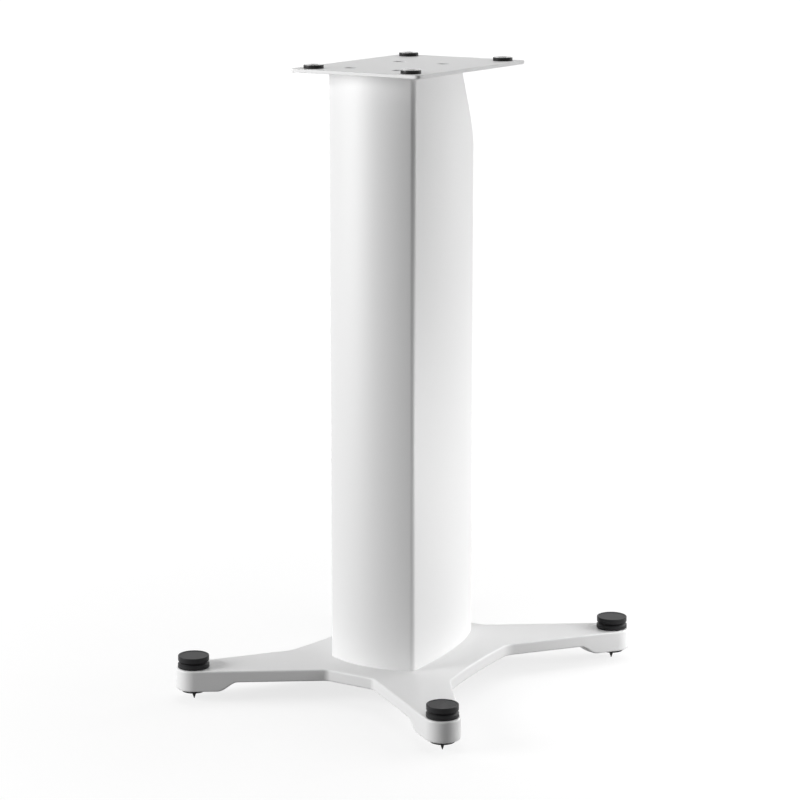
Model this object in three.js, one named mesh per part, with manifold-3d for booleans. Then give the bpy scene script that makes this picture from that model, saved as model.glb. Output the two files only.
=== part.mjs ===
// A speaker stand: a cast base with four adjustable spikes, a hollow column and a padded top plate.
// Millimetres, +Z up. The origin is on the floor, in the middle of the four spikes. -Y is the front.

import * as THREE from 'three';
import { mergeVertices } from 'three/addons/utils/BufferGeometryUtils.js';
import Module from 'manifold-3d';

const wasm = await Module();
wasm.setup();

// Stance
const FOOT_X = 145;
const FOOT_Y = 171;
const FLOOR_GAP = 11.25;

// Base casting
const BOSS_RADIUS = 17.5;
const BOSS_DEPTH = 21.5;
const BOSS_FLAT_RADIUS = 28.5;
const BOSS_BLEND_LENGTH = 18;
const ARM_THICKNESS = 12.25;
const HUB_HALF_LENGTH = 108.5;
const HUB_END_HALF_WIDTH = 27;
const HUB_END_FILLET = 11;
const FRONT_SHOULDER_X = 94.5;
const FRONT_SHOULDER_Y = -73;
const REAR_SHOULDER_X = 83;
const REAR_SHOULDER_Y = 60;
const SHOULDER_FILLET = 22;
const WAIST_BOW = 2.75;
const BASE_EDGE_ROUND = 1.75;

// Column
const COLUMN_HEIGHT = 588.75;
const COLUMN_HALF_WIDTH = 49;
const COLUMN_FRONT_Y = -80;
const COLUMN_REAR_Y = 92;
const COLUMN_REAR_HALF_WIDTH = 20.5;
const COLUMN_FRONT_RADIUS = 105;
const COLUMN_CORNER_RADIUS = 6.5;
const COLUMN_SIDE_STRAIGHT = 8;
const COLUMN_WALL = 3;
const WEB_THICKNESS = 3;
const PORT_WALL = 2.8;

// Cable entry at the top of the column's rear edge, and the cable outlet at its foot
const SCOOP_START_Y = 33.5;
const SCOOP_DROP = 88.5;
const SCOOP_LEAD_RUN = 14.5;
const SCOOP_LEAD_DROP = 29.5;
const OUTLET_WIDTH = 28;
const OUTLET_HEIGHT = 22;
const OUTLET_CORNER = 6;
const OUTLET_ABOVE_BASE = 8.25;

// Top plate and its pads
const PLATE_WIDTH = 146;
const PLATE_LENGTH = 204;
const PLATE_THICKNESS = 3.5;
const PLATE_CORNER = 4.5;
const PLATE_EDGE_ROUND = 0.5;
const PLATE_CENTRE_Y = 3;
const PAD_FROM_SIDE = 18;
const PAD_FROM_END = 15.5;
const PAD_RADIUS = 9.75;
const PAD_HEIGHT = 3.25;
const PAD_FLOOR = 1.25;
const PAD_RIM = 1;
const PAD_EDGE_CHAMFER = 0.25;
const DOME_LIP = 0.9;
const DOME_LIP_THICKNESS = 0.35;
const DOME_RADIUS = 4.5;
const DOME_RISE = 0.65;
const DOME_FLAT_RADIUS = 2.5;

// Screws of the plate, and bolts and washers of the base: all go into the column's four ports
const PORT_FRONT_X = 27.25;
const PORT_FRONT_Y = -61.25;
const PORT_REAR_X = 25.25;
const PORT_REAR_Y = 24.25;
const SHANK_RADIUS = 2.9;
const SHANK_CHAMFER = 0.5;
const SCREW_HEAD_RADIUS = 6;
const SCREW_HEAD_SUNK = 1.25;
const SCREW_SEAT_LAND = 0.25;
const SCREW_LENGTH = 20.75;
const SCREW_SOCKET_WIDTH = 4;
const SCREW_SOCKET_DEPTH = 2.5;
const BOLT_HEAD_RADIUS = 5;
const BOLT_HEAD_HEIGHT = 6;
const BOLT_LENGTH = 20;
const BOLT_SOCKET_WIDTH = 5;
const BOLT_SOCKET_DEPTH = 3;
const BOLT_HEAD_SUNK = 0.25;
const WASHER_RADIUS = 6;
const WASHER_THICKNESS = 1.25;

// Foot adjusters
const SPIKE_RADIUS = 4;
const SPIKE_NECK_RADIUS = 2.9;
const SPIKE_TIP_RADIUS = 0.35;
const SPIKE_CONE_HEIGHT = 7.75;
const SPIKE_NECK_RISE = 1.25;
const BUSH_RADIUS = 7;
const BUSH_BELOW_TOP = 0.25;
const FOOT_RING_RADIUS = 12.25;
const FOOT_RING_HOLE_RADIUS = 5;
const FOOT_RING_THICKNESS = 3;
const LOCK_RING_RADIUS = 15.75;
const LOCK_RING_THICKNESS = 5.25;
const LOCK_RING_CHAMFER = 1.75;
const LOCK_RING_EDGE = 0.5;
const KNOB_RADIUS = 15.5;
const KNOB_HEIGHT = 6.5;
const KNOB_FOOT_CHAMFER = 1.5;
const KNOB_EDGE = 0.75;
const KNOB_ROOF = 2;

// Gaps between pieces
const RADIAL_GAP = 0.3;
const FACE_GAP = 0.25;
const OVERCUT = 1;

// Steps of round shapes
const KNOB_STEPS = 30;
const ROUND_STEPS = 20;
const BOSS_STEPS = 12;
const WAIST_STEPS = 6;
const BLEND_RINGS = 6;
const FILLET_STEPS = 5;
const SIDE_STEPS = 12;
const FRONT_STEPS = 8;
const SCOOP_STEPS = 10;
const DOME_STEPS = 4;

// Heights worked out from the sizes above
const BASE_TOP = FLOOR_GAP + BOSS_DEPTH;
const ARM_UNDERSIDE = BASE_TOP - ARM_THICKNESS;
const COLUMN_TOP = BASE_TOP + COLUMN_HEIGHT;
const PLATE_TOP = COLUMN_TOP + PLATE_THICKNESS;
const BOLT_SEAT = ARM_UNDERSIDE + BOLT_HEAD_SUNK + BOLT_HEAD_HEIGHT + WASHER_THICKNESS;
const PORT_RADIUS = SHANK_RADIUS + RADIAL_GAP;
const SCREW_HEAD_HEIGHT = PLATE_THICKNESS - SCREW_HEAD_SUNK - SCREW_SEAT_LAND;
const SPIKE_BORE_RADIUS = SPIKE_RADIUS + RADIAL_GAP;
const PAD_X = PLATE_WIDTH / 2 - PAD_FROM_SIDE;
const PAD_Y = PLATE_LENGTH / 2 - PAD_FROM_END;
const LOCK_RING_BOTTOM = BASE_TOP + FACE_GAP;
const KNOB_BOTTOM = LOCK_RING_BOTTOM + LOCK_RING_THICKNESS + FACE_GAP;
const KNOB_BORE_TOP = KNOB_BOTTOM + KNOB_HEIGHT - KNOB_ROOF;

const CORNERS = [
  { name: 'front_left', x: -1, y: -1 },
  { name: 'front_right', x: 1, y: -1 },
  { name: 'rear_left', x: -1, y: 1 },
  { name: 'rear_right', x: 1, y: 1 },
];

const paint = (color, roughness, metalness) =>
  new THREE.MeshStandardMaterial({ color, roughness, metalness });

const materials = {
  whitePaint: () => paint('#f3f3f2', 0.45, 0),
  blackMetal: () => paint('#1b1b1d', 0.35, 0.6),
  steel: () => paint('#b4b5b6', 0.35, 1),
  rubber: () => paint('#1a1a1a', 0.8, 0),
  gel: () => paint('#8a8a8a', 0.15, 0),
  pad: () => paint('#2b2b2c', 0.6, 0),
};

// ---- Shapes and solids -------------------------------------------------------------------------

/** Makes a closed solid from a geometry, ready to be joined and cut. */
function solid(geometry) {
  const plain = geometry.clone();
  plain.deleteAttribute('normal');
  plain.deleteAttribute('uv');
  const merged = mergeVertices(plain);
  const corners = merged.index.array;
  const triangles = [];
  for (let i = 0; i < corners.length; i += 3) {
    const [a, b, c] = [corners[i], corners[i + 1], corners[i + 2]];
    if (a !== b && b !== c && c !== a) triangles.push(a, b, c);
  }
  return new wasm.Manifold(new wasm.Mesh({
    numProp: 3,
    vertProperties: new Float32Array(merged.attributes.position.array),
    triVerts: new Uint32Array(triangles),
  }));
}

/** Turns a joined or cut solid back into a geometry. */
function toGeometry(body) {
  const mesh = body.getMesh();
  const geometry = new THREE.BufferGeometry();
  geometry.setAttribute('position', new THREE.BufferAttribute(mesh.vertProperties, 3));
  geometry.setIndex(new THREE.BufferAttribute(mesh.triVerts, 1));
  geometry.computeVertexNormals();
  return geometry;
}

/** A turned shape about Z, from [radius, height] pairs that run up the outside. */
function turned(profile, steps = ROUND_STEPS) {
  const points = profile.map(([radius, height]) => new THREE.Vector2(radius, height));
  return new THREE.LatheGeometry(points, steps).rotateX(Math.PI / 2);
}

/** The profile of a turned ring, closed on itself, from its outside run and its hole's radius. */
function ringProfile(holeRadius, outside) {
  const bottom = outside[0][1];
  const top = outside[outside.length - 1][1];
  return [[holeRadius, bottom], ...outside, [holeRadius, top], [holeRadius, bottom]];
}

/** A flat shape raised along Z from one height to another. */
function raised(shape, bottom, top, edgeRound = 0, curveSegments = FILLET_STEPS) {
  const options = { depth: top - bottom - 2 * edgeRound, bevelEnabled: edgeRound > 0, curveSegments };
  if (edgeRound > 0) {
    options.bevelThickness = edgeRound;
    options.bevelSize = edgeRound;
    options.bevelOffset = -edgeRound;
    options.bevelSegments = 2;
  }
  return new THREE.ExtrudeGeometry(shape, options).translate(0, 0, bottom + edgeRound);
}

/** A box from its lowest corner to its highest. */
function block(low, high) {
  const size = high.map((value, axis) => value - low[axis]);
  const centre = high.map((value, axis) => (value + low[axis]) / 2);
  return new THREE.BoxGeometry(...size).translate(...centre);
}

/** A rectangle with round corners, about the middle of the drawing plane. */
function roundedRectangle(width, height, radius) {
  const right = width / 2 - radius;
  const top = height / 2 - radius;
  const shape = new THREE.Shape();
  shape.absarc(right, -top, radius, -Math.PI / 2, 0);
  shape.absarc(right, top, radius, 0, Math.PI / 2);
  shape.absarc(-right, top, radius, Math.PI / 2, Math.PI);
  shape.absarc(-right, -top, radius, Math.PI, Math.PI * 1.5);
  shape.closePath();
  return shape;
}

/** A six-sided key socket cut into a fastener's end, from one height to another. */
function keySocket(width, bottom, top) {
  const cornerRadius = width / Math.sqrt(3);
  const prism = new THREE.CylinderGeometry(cornerRadius, cornerRadius, top - bottom, 6);
  return solid(prism.rotateX(Math.PI / 2).translate(0, 0, (top + bottom) / 2));
}

/** The points of a round fillet at a corner between two straight runs. */
function fillet(before, corner, after, radius) {
  const toBefore = before.clone().sub(corner);
  const toAfter = after.clone().sub(corner);
  const halfAngle = toBefore.angleTo(toAfter) / 2;
  const room = Math.min(toBefore.length(), toAfter.length()) * 0.9;
  const trim = Math.min(radius / Math.tan(halfAngle), room);
  const start = corner.clone().addScaledVector(toBefore.normalize(), trim);
  const end = corner.clone().addScaledVector(toAfter.normalize(), trim);
  const reach = trim / Math.cos(halfAngle);
  const centre = corner.clone().addScaledVector(toBefore.add(toAfter).normalize(), reach);
  const arcRadius = trim * Math.tan(halfAngle);
  const startAngle = start.clone().sub(centre).angle();
  let turn = end.clone().sub(centre).angle() - startAngle;
  if (turn > Math.PI) turn -= 2 * Math.PI;
  if (turn < -Math.PI) turn += 2 * Math.PI;
  return Array.from({ length: FILLET_STEPS + 1 }, (_, step) => {
    const angle = startAngle + turn * step / FILLET_STEPS;
    return new THREE.Vector2(Math.cos(angle), Math.sin(angle)).multiplyScalar(arcRadius).add(centre);
  });
}

// ---- Base casting ------------------------------------------------------------------------------

/** A point of the right waist wall, from the rear shoulder (0) to the front one (1). */
function waistPoint(share) {
  const rearShoulder = new THREE.Vector2(REAR_SHOULDER_X, REAR_SHOULDER_Y);
  const point = rearShoulder.lerp(new THREE.Vector2(FRONT_SHOULDER_X, FRONT_SHOULDER_Y), share);
  point.x -= WAIST_BOW * 4 * share * (1 - share);
  return point;
}

/** The right rear arm's outline: from the hub's end, round the boss, to a shoulder of the waist. */
function armOutline(shoulder, nextOnWaist) {
  const boss = new THREE.Vector2(FOOT_X, FOOT_Y);
  const hubEnd = new THREE.Vector2(0, HUB_HALF_LENGTH);
  const hubCorner = new THREE.Vector2(HUB_END_HALF_WIDTH, HUB_HALF_LENGTH);
  const towardsBoss = (from, side) => {
    const run = boss.clone().sub(from);
    return run.angle() + side * Math.asin(BOSS_RADIUS / run.length());
  };
  const outerAngle = towardsBoss(hubCorner, 1) + Math.PI / 2;
  const innerAngle = towardsBoss(shoulder, -1) - Math.PI / 2;
  const onBoss = (angle) =>
    new THREE.Vector2(Math.cos(angle), Math.sin(angle)).multiplyScalar(BOSS_RADIUS).add(boss);
  const points = fillet(hubEnd, hubCorner, onBoss(outerAngle), HUB_END_FILLET);
  for (let step = 0; step <= BOSS_STEPS; step += 1) {
    points.push(onBoss(outerAngle + (innerAngle - outerAngle) * step / BOSS_STEPS));
  }
  points.push(...fillet(onBoss(innerAngle), shoulder, nextOnWaist, SHOULDER_FILLET));
  return points;
}

/** The whole outline: the right arms and waist wall, and their mirror image. */
function baseOutline() {
  const toFront = (point) => new THREE.Vector2(point.x, -point.y);
  const toLeft = (point) => new THREE.Vector2(-point.x, point.y);
  const step = 1 / WAIST_STEPS;
  const rearArm = armOutline(waistPoint(0), waistPoint(step));
  const frontArm = armOutline(toFront(waistPoint(1)), toFront(waistPoint(1 - step)));
  const waist = [];
  for (let place = 2; place < WAIST_STEPS - 1; place += 1) {
    waist.push(waistPoint(place * step));
  }
  const right = [...rearArm, ...waist, ...frontArm.map(toFront).reverse()];
  return new THREE.Shape([...right, ...right.map(toLeft).reverse()]);
}

/** The space under the arms: everything below them but the bosses and their round blends. */
function underArmSpace() {
  const reachX = FOOT_X + BOSS_RADIUS + OVERCUT;
  const reachY = FOOT_Y + BOSS_RADIUS + OVERCUT;
  const bottom = FLOOR_GAP - OVERCUT;
  let space = solid(block([-reachX, -reachY, bottom], [reachX, reachY, ARM_UNDERSIDE]));
  const profile = [[0, bottom - OVERCUT], [BOSS_FLAT_RADIUS, bottom - OVERCUT]];
  for (let ring = 0; ring <= BLEND_RINGS; ring += 1) {
    const share = ring / BLEND_RINGS;
    const rise = (1 - Math.cos(Math.PI * share)) / 2;
    const radius = BOSS_FLAT_RADIUS + BOSS_BLEND_LENGTH * share;
    profile.push([radius, FLOOR_GAP + (ARM_UNDERSIDE - FLOOR_GAP) * rise]);
  }
  profile.push([BOSS_FLAT_RADIUS + BOSS_BLEND_LENGTH, ARM_UNDERSIDE + OVERCUT]);
  profile.push([0, ARM_UNDERSIDE + OVERCUT]);
  const kept = turned(profile, KNOB_STEPS);
  for (const { x, y } of CORNERS) {
    space = space.subtract(solid(kept.clone().translate(x * FOOT_X, y * FOOT_Y, 0)));
  }
  return space;
}

function baseCasting() {
  let body = solid(raised(baseOutline(), FLOOR_GAP, BASE_TOP, BASE_EDGE_ROUND));
  body = body.subtract(underArmSpace());
  const bushBore = turned([
    [0, FLOOR_GAP - OVERCUT],
    [BUSH_RADIUS + RADIAL_GAP, FLOOR_GAP - OVERCUT],
    [BUSH_RADIUS + RADIAL_GAP, BASE_TOP + OVERCUT],
    [0, BASE_TOP + OVERCUT],
  ]);
  for (const { x, y } of CORNERS) {
    body = body.subtract(solid(bushBore.clone().translate(x * FOOT_X, y * FOOT_Y, 0)));
  }
  const headRoom = WASHER_RADIUS + OVERCUT;
  const boltBore = turned([
    [0, ARM_UNDERSIDE - OVERCUT],
    [headRoom, ARM_UNDERSIDE - OVERCUT],
    [headRoom, BOLT_SEAT],
    [PORT_RADIUS, BOLT_SEAT],
    [PORT_RADIUS, BASE_TOP + OVERCUT],
    [0, BASE_TOP + OVERCUT],
  ]);
  for (const corner of CORNERS) {
    body = body.subtract(solid(boltBore.clone().translate(...portPlace(corner), 0)));
  }
  return body;
}

// ---- Column ------------------------------------------------------------------------------------

/** The place of a corner's screw port, across and along the column. */
function portPlace(corner) {
  const [x, y] = corner.y < 0 ? [PORT_FRONT_X, PORT_FRONT_Y] : [PORT_REAR_X, PORT_REAR_Y];
  return [corner.x * x, y];
}

/** The column's section, drawn in by a distance: an arched front, round corners, tapering sides. */
function columnSection(inset) {
  const cornerX = COLUMN_HALF_WIDTH - COLUMN_CORNER_RADIUS;
  const archCentreY = COLUMN_FRONT_Y + COLUMN_FRONT_RADIUS;
  const cornerReach = COLUMN_FRONT_RADIUS - COLUMN_CORNER_RADIUS;
  const archAngle = Math.asin(cornerX / cornerReach);
  const cornerY = archCentreY - cornerReach * Math.cos(archAngle);
  const cornerRadius = Math.max(COLUMN_CORNER_RADIUS - inset, OVERCUT);
  const right = [];
  for (let step = 0; step <= FRONT_STEPS; step += 1) {
    const angle = archAngle * step / FRONT_STEPS;
    const radius = COLUMN_FRONT_RADIUS - inset;
    right.push([radius * Math.sin(angle), archCentreY - radius * Math.cos(angle)]);
  }
  for (let step = 1; step <= FILLET_STEPS; step += 1) {
    const angle = archAngle + (Math.PI / 2 - archAngle) * step / FILLET_STEPS;
    right.push([cornerX + cornerRadius * Math.sin(angle), cornerY - cornerRadius * Math.cos(angle)]);
  }
  const widestY = cornerY + COLUMN_SIDE_STRAIGHT;
  const sideLength = COLUMN_REAR_Y - widestY;
  const rearAngle = Math.acos(COLUMN_REAR_HALF_WIDTH / COLUMN_HALF_WIDTH);
  const sideReach = sideLength / Math.sin(rearAngle);
  for (let step = 0; step <= SIDE_STEPS; step += 1) {
    const angle = rearAngle * step / SIDE_STEPS;
    const normal = new THREE.Vector2(Math.cos(angle) / COLUMN_HALF_WIDTH, Math.sin(angle) / sideReach);
    normal.normalize().multiplyScalar(inset);
    const x = COLUMN_HALF_WIDTH * Math.cos(angle) - normal.x;
    const y = widestY + sideReach * Math.sin(angle) - normal.y;
    right.push([x, Math.min(y, COLUMN_REAR_Y - inset)]);
  }
  const left = right.slice(1).reverse().map(([x, y]) => [-x, y]);
  return new THREE.Shape([...right, ...left].map(([x, y]) => new THREE.Vector2(x, y)));
}

/** The hollow inside the column, between its walls, webs and screw ports. */
function chambers() {
  const bottom = BASE_TOP - OVERCUT;
  const top = COLUMN_TOP + OVERCUT;
  let space = solid(raised(columnSection(COLUMN_WALL), bottom, top));
  for (const y of [PORT_FRONT_Y, PORT_REAR_Y]) {
    const low = [-COLUMN_HALF_WIDTH, y - WEB_THICKNESS / 2, bottom - OVERCUT];
    const high = [COLUMN_HALF_WIDTH, y + WEB_THICKNESS / 2, top + OVERCUT];
    space = space.subtract(solid(block(low, high)));
  }
  for (const corner of CORNERS) {
    const port = turned([
      [0, bottom - OVERCUT],
      [PORT_RADIUS + PORT_WALL, bottom - OVERCUT],
      [PORT_RADIUS + PORT_WALL, top + OVERCUT],
      [0, top + OVERCUT],
    ]);
    space = space.subtract(solid(port.translate(...portPlace(corner), 0)));
  }
  return space;
}

/** Stands a shape drawn with Y across and Z up on edge, and raises it along X. */
function acrossColumn(shape, halfWidth) {
  const axes = new THREE.Matrix4().makeBasis(
    new THREE.Vector3(0, 1, 0),
    new THREE.Vector3(0, 0, 1),
    new THREE.Vector3(1, 0, 0),
  );
  return raised(shape, -halfWidth, halfWidth).applyMatrix4(axes);
}

/** The slanted, slightly hollow cut that opens the rear chamber below the plate. */
function cableScoop() {
  const slope = new THREE.QuadraticBezierCurve(
    new THREE.Vector2(SCOOP_START_Y, COLUMN_TOP),
    new THREE.Vector2(SCOOP_START_Y + SCOOP_LEAD_RUN, COLUMN_TOP - SCOOP_LEAD_DROP),
    new THREE.Vector2(COLUMN_REAR_Y, COLUMN_TOP - SCOOP_DROP),
  );
  const outside = COLUMN_REAR_Y + OVERCUT;
  const above = COLUMN_TOP + OVERCUT;
  const shape = new THREE.Shape([
    new THREE.Vector2(SCOOP_START_Y, above),
    ...slope.getPoints(SCOOP_STEPS),
    new THREE.Vector2(outside, COLUMN_TOP - SCOOP_DROP),
    new THREE.Vector2(outside, above),
  ]);
  return solid(acrossColumn(shape, COLUMN_HALF_WIDTH + OVERCUT));
}

/** The round-cornered window in the rear wall that lets the cable out above the base. */
function cableOutlet() {
  const window = roundedRectangle(OUTLET_WIDTH, OUTLET_HEIGHT, OUTLET_CORNER);
  const geometry = raised(window, 0, COLUMN_WALL + 2 * OVERCUT).rotateX(Math.PI / 2);
  const height = BASE_TOP + OUTLET_ABOVE_BASE + OUTLET_HEIGHT / 2;
  return solid(geometry.translate(0, COLUMN_REAR_Y + OVERCUT, height));
}

function column() {
  let body = solid(raised(columnSection(0), BASE_TOP, COLUMN_TOP));
  body = body.subtract(chambers());
  for (const corner of CORNERS) {
    const bore = turned([
      [0, BASE_TOP - OVERCUT],
      [PORT_RADIUS, BASE_TOP - OVERCUT],
      [PORT_RADIUS, COLUMN_TOP + OVERCUT],
      [0, COLUMN_TOP + OVERCUT],
    ]);
    body = body.subtract(solid(bore.translate(...portPlace(corner), 0)));
  }
  return body.subtract(cableScoop()).subtract(cableOutlet());
}

// ---- Top plate, its screws and its pads --------------------------------------------------------

function topPlate() {
  const outline = roundedRectangle(PLATE_WIDTH, PLATE_LENGTH, PLATE_CORNER);
  const sheet = raised(outline, COLUMN_TOP, PLATE_TOP, PLATE_EDGE_ROUND);
  let body = solid(sheet.translate(0, PLATE_CENTRE_Y, 0));
  const headTop = PLATE_TOP - SCREW_HEAD_SUNK;
  const sink = turned([
    [0, COLUMN_TOP - OVERCUT],
    [PORT_RADIUS, COLUMN_TOP - OVERCUT],
    [PORT_RADIUS, headTop - SCREW_HEAD_HEIGHT],
    [SCREW_HEAD_RADIUS + RADIAL_GAP, headTop],
    [SCREW_HEAD_RADIUS + RADIAL_GAP, PLATE_TOP + OVERCUT],
    [0, PLATE_TOP + OVERCUT],
  ]);
  for (const corner of CORNERS) {
    body = body.subtract(solid(sink.clone().translate(...portPlace(corner), 0)));
  }
  return body;
}

/** A countersunk screw, with its head's face sunk below the plate's. */
function plateScrew() {
  const top = PLATE_TOP - SCREW_HEAD_SUNK;
  const end = top - SCREW_LENGTH;
  const body = solid(turned([
    [0, end],
    [SHANK_RADIUS - SHANK_CHAMFER, end],
    [SHANK_RADIUS, end + SHANK_CHAMFER],
    [SHANK_RADIUS, top - SCREW_HEAD_HEIGHT],
    [SCREW_HEAD_RADIUS, top],
    [0, top],
  ]));
  return body.subtract(keySocket(SCREW_SOCKET_WIDTH, top - SCREW_SOCKET_DEPTH, top + OVERCUT));
}

/** The black cup of a pad, seated on the plate. */
function padCup() {
  const rimTop = PLATE_TOP + PAD_HEIGHT;
  const recessRadius = PAD_RADIUS - PAD_RIM;
  return turned([
    [0, PLATE_TOP],
    [PAD_RADIUS, PLATE_TOP],
    [PAD_RADIUS, rimTop - PAD_EDGE_CHAMFER],
    [PAD_RADIUS - PAD_EDGE_CHAMFER, rimTop],
    [recessRadius, rimTop],
    [recessRadius, PLATE_TOP + PAD_FLOOR],
    [0, PLATE_TOP + PAD_FLOOR],
  ]);
}

/** The soft insert of a pad: a plug with a thin lip over the cup's rim, and a low dome in its middle. */
function padDome() {
  const radius = PAD_RADIUS - PAD_RIM - RADIAL_GAP;
  const seat = PLATE_TOP + PAD_FLOOR;
  const rim = PLATE_TOP + PAD_HEIGHT;
  const ring = rim + DOME_LIP_THICKNESS;
  const slope = DOME_RADIUS - DOME_FLAT_RADIUS;
  const sphereRadius = (slope ** 2 + DOME_RISE ** 2) / (2 * DOME_RISE);
  const profile = [
    [0, seat],
    [radius, seat],
    [radius, rim],
    [radius + DOME_LIP, rim],
    [radius + DOME_LIP, ring],
  ];
  for (let step = DOME_STEPS; step >= 0; step -= 1) {
    const out = slope * step / DOME_STEPS;
    const drop = sphereRadius - Math.sqrt(sphereRadius ** 2 - out ** 2);
    profile.push([DOME_FLAT_RADIUS + out, ring + DOME_RISE - drop]);
  }
  profile.push([0, ring + DOME_RISE]);
  return turned(profile);
}

// ---- Base bolts --------------------------------------------------------------------------------

/** A socket-head bolt, up through the hub into a column port. */
function baseBolt() {
  const bottom = ARM_UNDERSIDE + BOLT_HEAD_SUNK;
  const underHead = bottom + BOLT_HEAD_HEIGHT;
  const end = underHead + BOLT_LENGTH;
  const body = solid(turned([
    [0, bottom],
    [BOLT_HEAD_RADIUS - SHANK_CHAMFER, bottom],
    [BOLT_HEAD_RADIUS, bottom + SHANK_CHAMFER],
    [BOLT_HEAD_RADIUS, underHead],
    [SHANK_RADIUS, underHead],
    [SHANK_RADIUS, end - SHANK_CHAMFER],
    [SHANK_RADIUS - SHANK_CHAMFER, end],
    [0, end],
  ]));
  return body.subtract(keySocket(BOLT_SOCKET_WIDTH, bottom - OVERCUT, bottom + BOLT_SOCKET_DEPTH));
}

function baseWasher() {
  const bottom = BOLT_SEAT - WASHER_THICKNESS;
  return turned(ringProfile(PORT_RADIUS, [[WASHER_RADIUS, bottom], [WASHER_RADIUS, BOLT_SEAT]]));
}

// ---- Foot adjusters ----------------------------------------------------------------------------

/** The threaded bush held in a boss. */
function footBush() {
  const top = BASE_TOP - BUSH_BELOW_TOP;
  return turned(ringProfile(SPIKE_BORE_RADIUS, [[BUSH_RADIUS, FLOOR_GAP], [BUSH_RADIUS, top]]));
}

/** The rubber ring under a boss, for a floor that spikes would mark. */
function footRing() {
  const bottom = FLOOR_GAP - FOOT_RING_THICKNESS;
  const outside = [
    [FOOT_RING_RADIUS - LOCK_RING_EDGE, bottom],
    [FOOT_RING_RADIUS, bottom + LOCK_RING_EDGE],
    [FOOT_RING_RADIUS, FLOOR_GAP],
  ];
  return turned(ringProfile(FOOT_RING_HOLE_RADIUS, outside));
}

/** The spike, with its point on the floor and its shaft's end inside the knob. */
function spike() {
  return turned([
    [0, 0],
    [SPIKE_TIP_RADIUS, 0],
    [SPIKE_NECK_RADIUS, SPIKE_CONE_HEIGHT],
    [SPIKE_RADIUS, SPIKE_CONE_HEIGHT + SPIKE_NECK_RISE],
    [SPIKE_RADIUS, KNOB_BORE_TOP - FACE_GAP],
    [0, KNOB_BORE_TOP - FACE_GAP],
  ]);
}

/** The lower ring, tightened down on the boss to lock the spike. */
function lockRing() {
  const top = LOCK_RING_BOTTOM + LOCK_RING_THICKNESS;
  const outside = [
    [LOCK_RING_RADIUS - LOCK_RING_EDGE, LOCK_RING_BOTTOM],
    [LOCK_RING_RADIUS, LOCK_RING_BOTTOM + LOCK_RING_EDGE],
    [LOCK_RING_RADIUS, top - LOCK_RING_CHAMFER],
    [LOCK_RING_RADIUS - LOCK_RING_CHAMFER, top],
  ];
  return turned(ringProfile(SPIKE_BORE_RADIUS, outside), KNOB_STEPS);
}

/** The upper knob, fixed on the spike's top end, which raises and lowers the foot. */
function adjusterKnob() {
  const top = KNOB_BOTTOM + KNOB_HEIGHT;
  return turned([
    [0, KNOB_BORE_TOP],
    [SPIKE_BORE_RADIUS, KNOB_BORE_TOP],
    [SPIKE_BORE_RADIUS, KNOB_BOTTOM],
    [KNOB_RADIUS - KNOB_FOOT_CHAMFER, KNOB_BOTTOM],
    [KNOB_RADIUS, KNOB_BOTTOM + KNOB_FOOT_CHAMFER],
    [KNOB_RADIUS, top - KNOB_EDGE],
    [KNOB_RADIUS - KNOB_EDGE, top],
    [0, top],
  ], KNOB_STEPS);
}

// ---- The stand ---------------------------------------------------------------------------------

const stand = new THREE.Group();

/** Adds a named piece to the stand, in a material of its own, moved sideways to its place. */
function add(name, geometry, material, x = 0, y = 0) {
  const mesh = new THREE.Mesh(geometry, material());
  mesh.name = name;
  mesh.position.set(x, y, 0);
  stand.add(mesh);
}

add('base_casting', toGeometry(baseCasting()), materials.whitePaint);
add('column', toGeometry(column()), materials.whitePaint);
add('top_plate', toGeometry(topPlate()), materials.whitePaint);

for (const corner of CORNERS) {
  const port = portPlace(corner);
  add(`plate_screw_${corner.name}`, toGeometry(plateScrew()), materials.steel, ...port);
  add(`base_bolt_${corner.name}`, toGeometry(baseBolt()), materials.steel, ...port);
  add(`base_washer_${corner.name}`, baseWasher(), materials.steel, ...port);
}

for (const corner of CORNERS) {
  const pad = [corner.x * PAD_X, PLATE_CENTRE_Y + corner.y * PAD_Y];
  add(`pad_cup_${corner.name}`, padCup(), materials.pad, ...pad);
  add(`pad_dome_${corner.name}`, padDome(), materials.gel, ...pad);
}

for (const corner of CORNERS) {
  const foot = [corner.x * FOOT_X, corner.y * FOOT_Y];
  add(`foot_bush_${corner.name}`, footBush(), materials.steel, ...foot);
  add(`foot_ring_${corner.name}`, footRing(), materials.rubber, ...foot);
  add(`spike_${corner.name}`, spike(), materials.blackMetal, ...foot);
  add(`lock_ring_${corner.name}`, lockRing(), materials.blackMetal, ...foot);
  add(`adjuster_knob_${corner.name}`, adjusterKnob(), materials.blackMetal, ...foot);
}

export default stand;
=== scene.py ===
# %% [markdown]
# # A speaker stand, finished in Blender
# The CAD model gives the size and place of all 43 pieces of this stand: a cast base on four spikes, a
# hollow column, and a plate with four pads. This lesson keeps that frame, makes a finer mesh for each
# piece, and gives each surface its finish. The pieces are drawn in millimetres until a mesh is made, and
# the camera, the floor and the lamps are placed in metres.

# %% Load the frame
import math

import bmesh
import bpy
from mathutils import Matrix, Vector, geometry


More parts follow.
